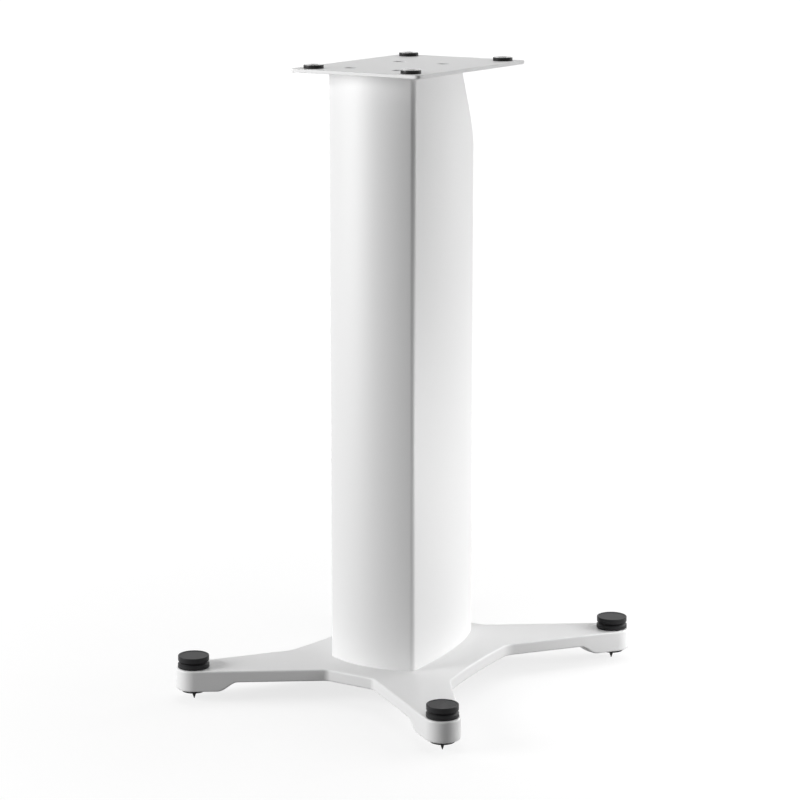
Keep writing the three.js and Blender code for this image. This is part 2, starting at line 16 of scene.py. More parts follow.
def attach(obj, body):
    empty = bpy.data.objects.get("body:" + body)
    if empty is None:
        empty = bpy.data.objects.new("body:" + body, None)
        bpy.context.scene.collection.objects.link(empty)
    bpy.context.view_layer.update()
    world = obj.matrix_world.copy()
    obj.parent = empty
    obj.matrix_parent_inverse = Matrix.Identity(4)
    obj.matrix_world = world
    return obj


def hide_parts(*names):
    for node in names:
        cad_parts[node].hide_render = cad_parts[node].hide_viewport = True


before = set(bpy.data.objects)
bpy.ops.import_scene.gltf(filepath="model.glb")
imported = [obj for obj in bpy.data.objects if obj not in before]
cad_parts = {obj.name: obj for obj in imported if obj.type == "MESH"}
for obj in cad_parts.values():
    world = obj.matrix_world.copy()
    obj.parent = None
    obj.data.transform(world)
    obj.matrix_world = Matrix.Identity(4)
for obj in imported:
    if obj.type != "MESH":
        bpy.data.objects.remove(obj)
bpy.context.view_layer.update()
MM = 0.001

# %% A helper for new objects
scene = bpy.context.scene


def new_object(name, data):
    """Puts a mesh, a lamp or a camera into the scene."""
    made = bpy.data.objects.new(name, data)
    scene.collection.objects.link(made)
    return made


# %% [markdown]
# ## The camera
# The photograph was taken with a long lens from the front right, a little above the plate. The numbers
# come from fitting the plate, the pads, the column and the feet to their places in the picture.

# %% Place the camera
scene.view_settings.view_transform = "Standard"
camera_data = bpy.data.cameras.new("photo_camera")
camera_data.sensor_width = 36
camera_data.lens = 120.56
camera = new_object("photo_camera", camera_data)
camera.location = (1.3884, -2.2308, 0.8462)
camera.rotation_euler = (math.radians(78.05), 0, math.radians(32.07))
scene.camera = camera
print("camera:", camera_data.lens, "mm lens,", round(camera.location.length, 2), "m away")

# %% [markdown]
# ## Node helpers
# Every finish and every repeated piece is a tree of nodes. A few helpers keep the trees short. An input
# socket is fed with a value, with an output socket or with a node, and the last two become links.

# %% Helpers for node trees
NODE_WIDTH = 190
NODE_HEIGHT = 170


def feed(tree, socket, value):
    """Gives an input socket a value, or a link from an output socket or a node's first output."""
    if isinstance(value, bpy.types.Node):
        value = value.outputs[0]
    if isinstance(value, bpy.types.NodeSocket):
        tree.links.new(value, socket)
    else:
        socket.default_value = value


def add_node(tree, kind, column, row, settings=None, **sockets):
    """Adds a node at a place in the tree, with its settings, and feeds its input sockets by name."""
    node = tree.nodes.new(kind)
    node.location = (column * NODE_WIDTH, -row * NODE_HEIGHT)
    for name, value in (settings or {}).items():
        setattr(node, name, value)
    for name, value in sockets.items():
        feed(tree, node.inputs[name.replace("_", " ")], value)
    return node


def add_sockets(tree, direction, sockets):
    """Adds named sockets to a group: {"name": ("kind", default value or None)}."""
    for name, (kind, value) in sockets.items():
        socket = tree.interface.new_socket(name=name, in_out=direction, socket_type="NodeSocket" + kind)
        if value is not None:
            socket.default_value = value


def calculate(tree, operation, column, row, *values):
    """A Math node that takes numbers or sockets, and gives its output socket."""
    node = add_node(tree, "ShaderNodeMath", column, row, {"operation": operation})
    for socket, value in zip(node.inputs, values):
        feed(tree, socket, value)
    return node.outputs[0]


# %% Helpers for materials
def grey(level, blue=0.0):
    """An opaque grey, with a little blue added where it is wanted."""
    return level, level, level + blue, 1


def cleared_tree(owner):
    """The node tree of a material or a world, emptied."""
    owner.use_nodes = True
    owner.node_tree.nodes.clear()
    return owner.node_tree


def mix_shaders(tree, column, row, share, first, second):
    """A Mix Shader node, and gives its output socket."""
    node = add_node(tree, "ShaderNodeMixShader", column, row)
    for socket, value in zip(node.inputs, (share, first, second)):
        feed(tree, socket, value)
    return node.outputs[0]


def seen_directly(tree):
    """A mask that is 1 for rays from the camera, also by a mirror or glass, and 0 for rays of light."""
    rays = add_node(tree, "ShaderNodeLightPath", 0, 0).outputs
    seen = calculate(tree, "MAXIMUM", 1, 0, rays["Is Camera Ray"], rays["Is Glossy Ray"])
    return calculate(tree, "MAXIMUM", 2, 0, seen, rays["Is Transmission Ray"])


# %% [markdown]
# ## Floor, backdrop and lamps
# The stand was lit by large soft lights at the front left, behind on the right and high at the back, and
# by a strip low on the right. Walls between them stay dark, which gives the column its dark corner. The
# floor is plain and pale. Its added glow is only seen and gives no light, and it is weaker near the
# stand, so the shadow stays and the ground reads as white.

# %% Make the floor
# The corners of a rectangle, as sides of its middle, anticlockwise.
AROUND = ((1, 1), (-1, 1), (-1, -1), (1, -1))
FLOOR_HALF_SIZE = 14
floor_mesh = bpy.data.meshes.new("floor")
floor_mesh.from_pydata([(x * FLOOR_HALF_SIZE, y * FLOOR_HALF_SIZE, 0) for x, y in AROUND], [], [(0, 1, 2, 3)])
floor = new_object("floor", floor_mesh)

FLOOR_GREY = 0.2
FLOOR_SEEN_GREY = 0.95
FLOOR_GLOW = 1.08
SHADOW_REACH = 1.3
SHADOW_SHARE = 0.3
floor_paint = bpy.data.materials.new("pale_floor")
tree = cleared_tree(floor_paint)
spot = add_node(tree, "ShaderNodeTexCoord", 0, 2)
away = add_node(tree, "ShaderNodeVectorMath", 1, 2, {"operation": "LENGTH"}, Vector=spot.outputs["Object"])
fade = add_node(tree, "ShaderNodeMapRange", 2, 2, {"interpolation_type": "SMOOTHSTEP"},
                Value=away.outputs["Value"], From_Max=SHADOW_REACH, To_Min=SHADOW_SHARE, To_Max=0)
plain = add_node(tree, "ShaderNodeBsdfDiffuse", 3, 1, Color=grey(FLOOR_GREY))
lit = add_node(tree, "ShaderNodeBsdfDiffuse", 2, 3, Color=grey(FLOOR_SEEN_GREY))
glow = add_node(tree, "ShaderNodeEmission", 2, 4, Color=grey(1), Strength=FLOOR_GLOW)
seen = mix_shaders(tree, 3, 2, fade.outputs["Result"], glow, lit)
surface = mix_shaders(tree, 4, 0, seen_directly(tree), plain, seen)
add_node(tree, "ShaderNodeOutputMaterial", 5, 0, Surface=surface)
floor_mesh.materials.append(floor_paint)
print("floor:", 2 * FLOOR_HALF_SIZE, "m square")

# %% Light the room
ROOM_LIGHT = 0.02
scene.world = bpy.data.worlds.new("white_room")
tree = cleared_tree(scene.world)
room = add_node(tree, "ShaderNodeBackground", 3, 1, Color=grey(1), Strength=ROOM_LIGHT)
backdrop = add_node(tree, "ShaderNodeBackground", 3, 2, Color=grey(1), Strength=1)
surface = mix_shaders(tree, 4, 0, seen_directly(tree), room, backdrop)
add_node(tree, "ShaderNodeOutputWorld", 5, 0, Surface=surface)


def soft_light(name, aim, around, above, distance, size, power):
    """A soft light that points at a place: its direction round from the front and above, in degrees."""
    lamp = bpy.data.lights.new(name, "AREA")
    lamp.shape = "RECTANGLE"
    lamp.size, lamp.size_y = size
    lamp.energy = power
    turn = math.radians(around)
    rise = math.radians(above)
    away = Vector((math.sin(turn) * math.cos(rise), -math.cos(turn) * math.cos(rise), math.sin(rise)))
    light = new_object(name, lamp)
    light.location = Vector(aim) + away * distance
    light.rotation_euler = away.to_track_quat("Z", "Y").to_euler()
    light.visible_camera = False
    print("light:", name, [round(v, 2) for v in light.location], power, "W")


COLUMN_MIDDLE = (0, 0, 0.3)
RIGHT_ARMS = (0.05, 0, 0.15)
soft_light("left_soft_light", COLUMN_MIDDLE, around=-43, above=11, distance=2.3, size=(1.2, 1.6), power=53)
soft_light("right_soft_light", COLUMN_MIDDLE, around=153, above=23, distance=1.6, size=(1.2, 1.6), power=14)
soft_light("high_soft_light", COLUMN_MIDDLE, around=-136, above=60, distance=2.6, size=(2.0, 2.0), power=19)
soft_light("low_strip_light", RIGHT_ARMS, around=108, above=2, distance=0.5, size=(0.5, 0.15), power=1.85)

# %% [markdown]
# ## Finishes
# Nothing on the stand is one flat colour. Powder coat has a fine speckle and a faint orange peel, turned
# parts carry the tool's rings, and moulded parts have a dull grain. Two groups make these patterns, and
# each finish places them with its own sizes.

# %% Group: speckle and peel of a coating or moulding
grain_group = bpy.data.node_groups.new("surface_grain", "ShaderNodeTree")
add_sockets(grain_group, "INPUT", {"Speckle size": ("Float", 0.5), "Peel size": ("Float", 2.0)})
add_sockets(grain_group, "OUTPUT", {"Speckle": ("Float", None), "Peel": ("Float", None)})
inside = add_node(grain_group, "NodeGroupInput", 0, 0)
outside = add_node(grain_group, "NodeGroupOutput", 4, 0)
place = add_node(grain_group, "ShaderNodeTexCoord", 1, 2)
for row, pattern in enumerate(("Speckle", "Peel")):
    per_metre = calculate(grain_group, "DIVIDE", 1, row, 1 / MM, inside.outputs[pattern + " size"])
    noise = add_node(grain_group, "ShaderNodeTexNoise", 2, row, Vector=place.outputs["Object"],
                     Scale=per_metre, Detail=2, Roughness=0.5)
    feed(grain_group, outside.inputs[pattern], noise.outputs["Fac"])
print("group:", grain_group.name)

# %% Group: rings left by the lathe
RING_MAP = "ring_map"
lathe_group = bpy.data.node_groups.new("lathe_rings", "ShaderNodeTree")
add_sockets(lathe_group, "INPUT", {"Ring width": ("Float", 0.3)})
add_sockets(lathe_group, "OUTPUT", {"Rings": ("Float", None)})
inside = add_node(lathe_group, "NodeGroupInput", 0, 0)
along = add_node(lathe_group, "ShaderNodeUVMap", 0, 1, {"uv_map": RING_MAP})
parts = add_node(lathe_group, "ShaderNodeSeparateXYZ", 1, 1, Vector=along.outputs["UV"])
per_ring = calculate(lathe_group, "DIVIDE", 2, 0, parts.outputs["Y"], inside.outputs["Ring width"])
noise = add_node(lathe_group, "ShaderNodeTexNoise", 3, 0, {"noise_dimensions": "1D"},
                 W=per_ring, Scale=1, Detail=3)
add_node(lathe_group, "NodeGroupOutput", 4, 0, Rings=noise.outputs["Fac"])
print("group:", lathe_group.name)


# %% A finish from a pattern
# The Mix node has sockets of the same name for each kind of value, so its colours are picked by number.
MIX_COLOURS_IN = (6, 7)
MIX_COLOUR_OUT = 2


def finish(name, greys, roughness, pattern, bump, level=0.5, metallic=0.0, blue=0.0):
    """
    A material whose colour and roughness run between two values by a pattern.
    pattern is (group, {input: size}, output for the colour, output for the relief).
    bump is (strength, depth in millimetres), and blue is added to both greys' blue.
    """
    group, sizes, colour_from, relief_from = pattern
    material = bpy.data.materials.new(name)
    tree = cleared_tree(material)
    made = add_node(tree, "ShaderNodeGroup", 0, 0, {"node_tree": group})
    for size, value in sizes.items():
        made.inputs[size].default_value = value
    shade = made.outputs[colour_from]
    colour = add_node(tree, "ShaderNodeMix", 1, 0, {"data_type": "RGBA"})
    feed(tree, colour.inputs[0], shade)
    for socket, tone in zip(MIX_COLOURS_IN, greys):
        feed(tree, colour.inputs[socket], grey(tone, blue))
    gloss = add_node(tree, "ShaderNodeMapRange", 1, 1, Value=shade, To_Min=roughness[0], To_Max=roughness[1])
    relief = add_node(tree, "ShaderNodeBump", 1, 2, Height=made.outputs[relief_from],
                      Strength=bump[0], Distance=bump[1] * MM)
    shader = add_node(tree, "ShaderNodeBsdfPrincipled", 2, 0, Base_Color=colour.outputs[MIX_COLOUR_OUT],
                      Metallic=metallic, Roughness=gloss.outputs["Result"], Specular_IOR_Level=level,
                      Normal=relief.outputs["Normal"])
    add_node(tree, "ShaderNodeOutputMaterial", 3, 0, Surface=shader)
    print("finish:", name)
    return material


def grained(speckle, peel):
    """The grain pattern, with its speckle and peel sizes in millimetres."""
    return grain_group, {"Speckle size": speckle, "Peel size": peel}, "Speckle", "Peel"


def ringed(width):
    """The lathe pattern, with the width of its rings in millimetres."""
    return lathe_group, {"Ring width": width}, "Rings", "Rings"


# %% The finishes of this stand
white_paint = finish("white_powder_coat", (0.84, 0.9), (0.36, 0.46), grained(0.4, 1.6), (0.12, 0.05))
black_metal = finish("black_anodised", (0.009, 0.022), (0.34, 0.5), ringed(0.35), (0.15, 0.03),
                     level=0.16, blue=0.001)
black_steel = finish("blackened_steel", (0.006, 0.014), (0.4, 0.5), grained(0.4, 1.0), (0.2, 0.02), level=0.2)
zinc_steel = finish("zinc_plated_steel", (0.52, 0.66), (0.22, 0.36), grained(0.5, 2.0), (0.1, 0.02),
                    metallic=1.0, blue=0.01)
pad_plastic = finish("moulded_black", (0.008, 0.016), (0.4, 0.55), grained(0.25, 0.5), (0.2, 0.02), level=0.2)
pad_gel = finish("soft_pad_gel", (0.4, 0.46), (0.04, 0.1), grained(0.6, 1.5), (0.05, 0.02))
foot_rubber = finish("foot_rubber", (0.006, 0.014), (0.6, 0.8), grained(0.4, 1.0), (0.3, 0.04), level=0.2)

# %% [markdown]
# ## Turned pieces
# Knobs, rings, spikes, bushes, pads and fasteners are all turned or moulded round. One Geometry Nodes
# tree works as the lathe: it takes a profile drawn beside the axis, turns it in equal steps, welds the
# seam and the poles, and can cut a thread on the way. It writes a map along the profile for the rings.

# %% Begin and end a tree
WELD_DISTANCE = 0.001 * MM


def modifier_tree(name, inputs):
    """A Geometry Nodes tree with named inputs. Gives the tree and the sockets of those inputs."""
    tree = bpy.data.node_groups.new(name, "GeometryNodeTree")
    tree.is_modifier = True
    add_sockets(tree, "INPUT", inputs)
    add_sockets(tree, "OUTPUT", {"Piece": ("Geometry", None)})
    return tree, add_node(tree, "NodeGroupInput", 0, 0).outputs


def end_tree(tree, column, piece, material):
    """Makes the piece real, gives it its material and sends it out of the tree."""
    real = add_node(tree, "GeometryNodeRealizeInstances", column, 0, Geometry=piece)
    finished = add_node(tree, "GeometryNodeSetMaterial", column + 1, 0, Geometry=real, Material=material)
    add_node(tree, "NodeGroupOutput", column + 2, 0, Piece=finished)
    print("tree:", tree.name, "with", len(tree.nodes), "nodes")


# %% The lathe tree: a sheet with a column of points for each step
LATHE_INPUTS = {
    "Profile": ("Geometry", None), "Steps": ("Int", 64), "Place": ("Vector", (0, 0, 0)),
    "Thread depth": ("Float", 0), "Thread pitch": ("Float", 1.25 * MM),
    "Thread from": ("Float", 0), "Thread to": ("Float", 0), "Finish": ("Material", None),
}
lathe, given = modifier_tree("turned_piece", LATHE_INPUTS)
size = add_node(lathe, "GeometryNodeAttributeDomainSize", 1, 3, Geometry=given["Profile"])
count = size.outputs["Point Count"]
columns = calculate(lathe, "ADD", 2, 3, given["Steps"], 1)
sheet = add_node(lathe, "GeometryNodeMeshGrid", 3, 3, Vertices_X=columns, Vertices_Y=count)
index = add_node(lathe, "GeometryNodeInputIndex", 1, 4)
column = calculate(lathe, "FLOOR", 3, 4, calculate(lathe, "DIVIDE", 2, 4, index, count))
row = calculate(lathe, "FLOORED_MODULO", 3, 5, index, count)
share = calculate(lathe, "DIVIDE", 4, 4, column, given["Steps"])
angle = calculate(lathe, "MULTIPLY", 5, 4, share, 2 * math.pi)

position = add_node(lathe, "GeometryNodeInputPosition", 4, 2)
profile_point = add_node(lathe, "GeometryNodeSampleIndex", 5, 1, {"data_type": "FLOAT_VECTOR"},
                         Geometry=given["Profile"], Value=position, Index=row)
run = add_node(lathe, "GeometryNodeInputNamedAttribute", 4, 0, {"data_type": "FLOAT"}, Name="run")
run_there = add_node(lathe, "GeometryNodeSampleIndex", 5, 0, {"data_type": "FLOAT"},
                     Geometry=given["Profile"], Value=run, Index=row)

# %% The lathe tree: the thread
parts = add_node(lathe, "ShaderNodeSeparateXYZ", 6, 1, Vector=profile_point).outputs
turns_up = calculate(lathe, "DIVIDE", 7, 2, parts["Z"], given["Thread pitch"])
phase = calculate(lathe, "FRACT", 9, 2, calculate(lathe, "SUBTRACT", 8, 2, turns_up, share))
flank = calculate(lathe, "ABSOLUTE", 11, 2, calculate(lathe, "MULTIPLY_ADD", 10, 2, phase, 2, -1))
above_start = calculate(lathe, "SUBTRACT", 7, 3, parts["Z"], given["Thread from"])
below_end = calculate(lathe, "SUBTRACT", 7, 4, given["Thread to"], parts["Z"])
nearest = calculate(lathe, "MINIMUM", 8, 3, above_start, below_end)
faded = calculate(lathe, "DIVIDE", 9, 3, nearest, given["Thread pitch"])
faded = calculate(lathe, "MINIMUM", 11, 3, calculate(lathe, "MAXIMUM", 10, 3, faded, 0), 1)
depth_share = calculate(lathe, "MULTIPLY", 11, 4, flank, faded)
cut = calculate(lathe, "MULTIPLY", 12, 2, depth_share, given["Thread depth"])
radius = calculate(lathe, "SUBTRACT", 13, 1, parts["X"], cut)
spoke = add_node(lathe, "ShaderNodeCombineXYZ", 14, 1, X=radius, Z=parts["Z"])

# %% The lathe tree: turn the sheet, with its ring map
turned = add_node(lathe, "ShaderNodeVectorRotate", 15, 1, {"rotation_type": "Z_AXIS"},
                  Vector=spoke, Angle=angle)
map_point = add_node(lathe, "ShaderNodeCombineXYZ", 7, 5, X=share, Y=run_there)
on_points = add_node(lathe, "GeometryNodeFieldOnDomain", 8, 5,
                     {"data_type": "FLOAT_VECTOR", "domain": "POINT"}, Value=map_point)
mapped = add_node(lathe, "GeometryNodeStoreNamedAttribute", 9, 5, {"data_type": "FLOAT2", "domain": "CORNER"},
                  Geometry=sheet, Name=RING_MAP, Value=on_points)
wrapped = add_node(lathe, "GeometryNodeSetPosition", 16, 0, Geometry=mapped, Position=turned)
welded = add_node(lathe, "GeometryNodeMergeByDistance", 17, 0, Geometry=wrapped, Distance=WELD_DISTANCE)
placed = add_node(lathe, "GeometryNodeSetPosition", 18, 0, Geometry=welded, Offset=given["Place"])
smooth = add_node(lathe, "GeometryNodeSetShadeSmooth", 19, 0)
feed(lathe, smooth.inputs[0], placed)
end_tree(lathe, 20, smooth, given["Finish"])

# %% [markdown]
# A fastener is the same turned piece with a six-sided key socket cut into its end, so its tree holds the
# lathe as a group and takes the socket away with a boolean.

# %% The fastener tree
fastener, given = modifier_tree("keyed_fastener", {
    **LATHE_INPUTS,
    "Key width": ("Float", 4 * MM), "Key from": ("Float", 0), "Key to": ("Float", 1 * MM),
})
blank = add_node(fastener, "GeometryNodeGroup", 2, 0, {"node_tree": lathe})
for name in LATHE_INPUTS:
    feed(fastener, blank.inputs[name], given[name])
depth = calculate(fastener, "SUBTRACT", 1, 2, given["Key to"], given["Key from"])
both_ends = calculate(fastener, "ADD", 1, 3, given["Key to"], given["Key from"])
half_way = calculate(fastener, "MULTIPLY", 2, 3, both_ends, 0.5)
corner_reach = calculate(fastener, "DIVIDE", 1, 4, given["Key width"], math.sqrt(3))
prism = add_node(fastener, "GeometryNodeMeshCylinder", 2, 2, Vertices=6, Radius=corner_reach, Depth=depth)
raised = add_node(fastener, "ShaderNodeCombineXYZ", 3, 3, Z=half_way)
at_piece = add_node(fastener, "ShaderNodeVectorMath", 4, 3, {"operation": "ADD"}, Vector=raised)
feed(fastener, at_piece.inputs[1], given["Place"])
moved = add_node(fastener, "GeometryNodeTransform", 5, 2, Geometry=prism, Translation=at_piece)
socket_cut = add_node(fastener, "GeometryNodeMeshBoolean", 6, 0,
                      {"operation": "DIFFERENCE", "solver": "EXACT"}, Mesh_1=blank, Mesh_2=moved)
end_tree(fastener, 7, socket_cut, given["Finish"])

# %% [markdown]
# A profile is a chain of points beside the axis. Real edges are never knife sharp, so each corner can
# carry a small radius. Short flats are kept next to the arcs, because they hold the shading of the wide
# faces level.

# %% Draw a profile
ARC_STEPS = 5
FLAT_BESIDE_ARC = 0.12
LONG_RUN = 6 * FLAT_BESIDE_ARC
TRIM_LIMIT = 0.45


def curve(start, lead, end, steps):
    """Points of a curve from a start to an end, which leans out to a leading point."""
    shares = [step / steps for step in range(steps + 1)]
    return [start * (1 - s) ** 2 + lead * 2 * s * (1 - s) + end * s ** 2 for s in shares]


def rounded_profile(corners, spacing=0.0):
    """Points from (radius, height, rounding) corners, with arcs, and extra points where a thread is cut."""
    points = [Vector(corners[0][:2])]
    for before, corner, after in zip(corners, corners[1:], corners[2:]):
        here = Vector(corner[:2])
        back = Vector(before[:2]) - here
        on = Vector(after[:2]) - here
        rounding = corner[2] if len(corner) > 2 else 0
        if not rounding:
            points.append(here)
            continue
        half = back.angle(on) / 2
        trim = min(rounding / math.tan(half), back.length * TRIM_LIMIT, on.length * TRIM_LIMIT)
        start = here + back.normalized() * trim
        end = here + on.normalized() * trim
        if back.length > LONG_RUN + trim:
            points.append(start + back.normalized() * FLAT_BESIDE_ARC)
        points += curve(start, here, end, ARC_STEPS)
        if on.length > LONG_RUN + trim:
            points.append(end + on.normalized() * FLAT_BESIDE_ARC)
    points.append(Vector(corners[-1][:2]))
    if not spacing:
        return points
    fine = [points[0]]
    for point in points[1:]:
        pieces = max(1, math.ceil((point - fine[-1]).length / spacing))
        start = fine[-1]
        fine += [start.lerp(point, step / pieces) for step in range(1, pieces + 1)]
    return fine


# %% Run a tree and keep its result
SHARP_FROM = math.radians(32)


def keep_edges(mesh):
    """Shades a mesh smooth, apart from its real edges."""
    mesh.shade_smooth()
    mesh.set_sharp_from_angle(angle=SHARP_FROM)


def build_piece(name, drawing, tree, values, cutters=()):
    """Runs a tree on a drawn mesh, takes the cutters away, and gives the result as a plain object."""
    blank = new_object(name + "_blank", drawing)
    modifier = blank.modifiers.new(tree.name, "NODES")
    modifier.node_group = tree
    for item in tree.interface.items_tree:
        if item.in_out == "INPUT" and item.name in values:
            modifier[item.identifier] = values[item.name]
    for cutter in cutters:
        cut = blank.modifiers.new(cutter.name, "BOOLEAN")
        cut.operation = "DIFFERENCE"
        cut.solver = "EXACT"
        cut.object = cutter
    bpy.context.view_layer.update()
    evaluated = bpy.context.evaluated_depsgraph_get()
    ready = blank.evaluated_get(evaluated)
    mesh = bpy.data.meshes.new_from_object(ready, preserve_all_data_layers=True, depsgraph=evaluated)
    mesh.name = name
    keep_edges(mesh)
    for helper in (blank, *cutters):
        bpy.data.objects.remove(helper)
    return new_object(name, mesh)


def turn_piece(name, points, centre, material, tree=lathe, **inputs):
    """Turns a profile, in millimetres, about an upright axis at a centre, and gives the plain object."""
    drawing = bpy.data.meshes.new(name + "_profile")
    chain = [(i, i + 1) for i in range(len(points) - 1)]
    drawing.from_pydata([(p.x * MM, 0, p.y * MM) for p in points], chain, [])
    run = drawing.attributes.new("run", "FLOAT", "POINT")
    length = 0
    for i, point in enumerate(points):
        length += (point - points[max(i - 1, 0)]).length
        run.data[i].value = length
    values = {"Place": (centre[0] * MM, centre[1] * MM, 0), "Finish": material}
    values.update({key.replace("_", " "): value for key, value in inputs.items()})
    return build_piece(name, drawing, tree, values)


# %% [markdown]
# ## Handing a piece to the frame
# Each finished piece stands for one CAD node and rides on that node's body. The helper also counts open
# edges, because each piece is meant to be a closed solid.

# %% Hand over a finished piece
def open_edges(mesh):
    """How many edges of a mesh don't have exactly two faces."""
    sides = [0] * len(mesh.edges)
    for loop in mesh.loops:
        sides[loop.edge_index] += 1
    return sum(count != 2 for count in sides)


def hand_over(piece, node, body):
    """The piece stands for a CAD node and moves with its body."""
    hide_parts(node)
    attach(piece, body)
    triangles = sum(len(polygon.vertices) - 2 for polygon in piece.data.polygons)
    print(f"{piece.name}: {triangles} triangles, {open_edges(piece.data)} open edges")


CORNERS = [("front_left", -1, -1), ("front_right", 1, -1), ("rear_left", -1, 1), ("rear_right", 1, 1)]

# %% [markdown]
# ## Feet
# A foot is a spike with a knob on its upper end and a lock ring below the knob, in a threaded bush. The
# two black discs meet in a V groove, and the knob's top is a little dished inside a narrow rim. The spike
# slides and the knob turns on it, so knob, ring and spike each ride on a body of their own.

# %% Profiles of the foot
FOOT_X = 145
FOOT_Y = 171
BASE_TOP = 32.75
BOSS_UNDERSIDE = 11.25
SPIKE_RADIUS = 4
BORE_RADIUS = 4.3
SPIKE_NECK = (2.9, 7.75)
SPIKE_TOP = 42.75
KNOB_RADIUS = 15.5
KNOB_FOOT = 38.5
KNOB_TOP = 45
KNOB_DISH = 44.6
KNOB_SOCKET_TOP = 43
RING_RADIUS = 15.75
RING_FOOT = 33
RING_TOP = 38.25
GROOVE_RADIUS = 14
BUSH_RADIUS = 7
BUSH_TOP = 32.5
BUSH_CHAMFER = 0.4
CUSHION_RADIUS = 12.25
CUSHION_HOLE = 5
CUSHION_FOOT = 8.25
knob_profile = rounded_profile([
    (0, KNOB_SOCKET_TOP), (BORE_RADIUS, KNOB_SOCKET_TOP), (BORE_RADIUS, KNOB_FOOT, 0.2),
    (GROOVE_RADIUS, KNOB_FOOT, 0.25), (KNOB_RADIUS, KNOB_FOOT + 1.5, 0.3), (KNOB_RADIUS, KNOB_TOP, 0.95),
    (13.8, KNOB_TOP, 0.25), (13.4, KNOB_DISH, 0.25), (0, KNOB_DISH),
])
ring_profile = rounded_profile([
    (BORE_RADIUS, RING_FOOT), (RING_RADIUS, RING_FOOT, 0.5), (RING_RADIUS, RING_TOP - 1.75, 0.3),
    (GROOVE_RADIUS, RING_TOP, 0.25), (BORE_RADIUS, RING_TOP, 0.15), (BORE_RADIUS, RING_FOOT),
])
spike_profile = rounded_profile([
    (0, 0), (0.35, 0, 0.1), SPIKE_NECK, (SPIKE_RADIUS, 9), (SPIKE_RADIUS, SPIKE_TOP, 0.4), (0, SPIKE_TOP),
], spacing=0.18)
bush_profile = rounded_profile([
    (BORE_RADIUS, BOSS_UNDERSIDE), (BUSH_RADIUS, BOSS_UNDERSIDE, 0.2), (BUSH_RADIUS, BUSH_TOP, 0.3),
    (BORE_RADIUS + BUSH_CHAMFER, BUSH_TOP), (BORE_RADIUS, BUSH_TOP - BUSH_CHAMFER),
    (BORE_RADIUS, BOSS_UNDERSIDE),
])
cushion_profile = rounded_profile([
    (CUSHION_HOLE, CUSHION_FOOT), (CUSHION_RADIUS, CUSHION_FOOT, 0.6), (CUSHION_RADIUS, BOSS_UNDERSIDE),
    (CUSHION_HOLE, BOSS_UNDERSIDE), (CUSHION_HOLE, CUSHION_FOOT),
])
print("foot profiles:", len(knob_profile), "points on the knob,", len(spike_profile), "on the spike")

# %% Turn the feet
def threaded(depth, pitch, low, high):
    """The lathe's inputs for a thread between two heights, from sizes in millimetres."""
    return {"Thread_depth": depth * MM, "Thread_pitch": pitch * MM, "Thread_from": low * MM,
            "Thread_to": high * MM}


spike_thread = threaded(depth=0.6, pitch=1.25, low=10, high=42)
for name, side, end in CORNERS:
    centre = (side * FOOT_X, end * FOOT_Y)
    knob = turn_piece(f"knob_{name}", knob_profile, centre, black_metal, Steps=96)
    hand_over(knob, f"adjuster_knob_{name}", f"{name}_knob")
    ring = turn_piece(f"ring_{name}", ring_profile, centre, black_metal, Steps=96)
    hand_over(ring, f"lock_ring_{name}", f"{name}_lock_ring")
    point = turn_piece(f"point_{name}", spike_profile, centre, black_steel, Steps=32, **spike_thread)
    hand_over(point, f"spike_{name}", f"{name}_spike")
    bush = turn_piece(f"bush_{name}", bush_profile, centre, zinc_steel, Steps=48)
    hand_over(bush, f"foot_bush_{name}", "stand")
    cushion = turn_piece(f"cushion_{name}", cushion_profile, centre, foot_rubber, Steps=64)
    hand_over(cushion, f"foot_ring_{name}", "stand")

# %% [markdown]
# ## Pads of the plate
# Each pad is a flat black cup with a soft glossy insert, whose thin lip covers the cup's rim. The low
# domes in the middle take the weight of the speaker. From so low down, the lip mirrors the white room.

# %% Turn the pads
PLATE_TOP = 625
PLATE_CENTRE_Y = 3
PAD_X = 55
PAD_Y = 86.5
CUP_RADIUS = 9.75
CUP_INNER_RADIUS = 8.75
CUP_FLOOR = 626.25
CUP_RIM = 628.25
PLUG_RADIUS = 8.45
LIP_RADIUS = 9.35
LIP_TOP = 628.6
DOME_RADIUS = 4.5
DOME_FLAT = 2.5
DOME_RISE = 0.65
DOME_STEPS = 12
cup_profile = rounded_profile([
    (0, PLATE_TOP), (CUP_RADIUS, PLATE_TOP, 0.15), (CUP_RADIUS, CUP_RIM, 0.25), (CUP_INNER_RADIUS, CUP_RIM),
    (CUP_INNER_RADIUS, CUP_FLOOR), (0, CUP_FLOOR),
])
slope = DOME_RADIUS - DOME_FLAT
sphere = (slope ** 2 + DOME_RISE ** 2) / (2 * DOME_RISE)
dome_profile = rounded_profile([
    (0, CUP_FLOOR), (PLUG_RADIUS, CUP_FLOOR), (PLUG_RADIUS, CUP_RIM), (LIP_RADIUS, CUP_RIM),
    (LIP_RADIUS, LIP_TOP, 0.15), (DOME_RADIUS + 0.1, LIP_TOP),
])
for step in range(DOME_STEPS, -1, -1):
    out = slope * step / DOME_STEPS
    rise = DOME_RISE - sphere + math.sqrt(sphere ** 2 - out ** 2)
    dome_profile.append(Vector((DOME_FLAT + out, LIP_TOP + rise)))
dome_profile.append(Vector((0, LIP_TOP + DOME_RISE)))
for name, side, end in CORNERS:
    centre = (side * PAD_X, PLATE_CENTRE_Y + end * PAD_Y)
    cup = turn_piece(f"cup_{name}", cup_profile, centre, pad_plastic, Steps=72)
    hand_over(cup, f"pad_cup_{name}", "stand")
    dome = turn_piece(f"dome_{name}", dome_profile, centre, pad_gel, Steps=64)
    hand_over(dome, f"pad_dome_{name}", "stand")

# %% [markdown]
# ## Fasteners
# Four countersunk screws hold the plate on the column, and four socket-head bolts come up through the
# base into the same ports. Their heads have key sockets, so they come from the fastener tree.

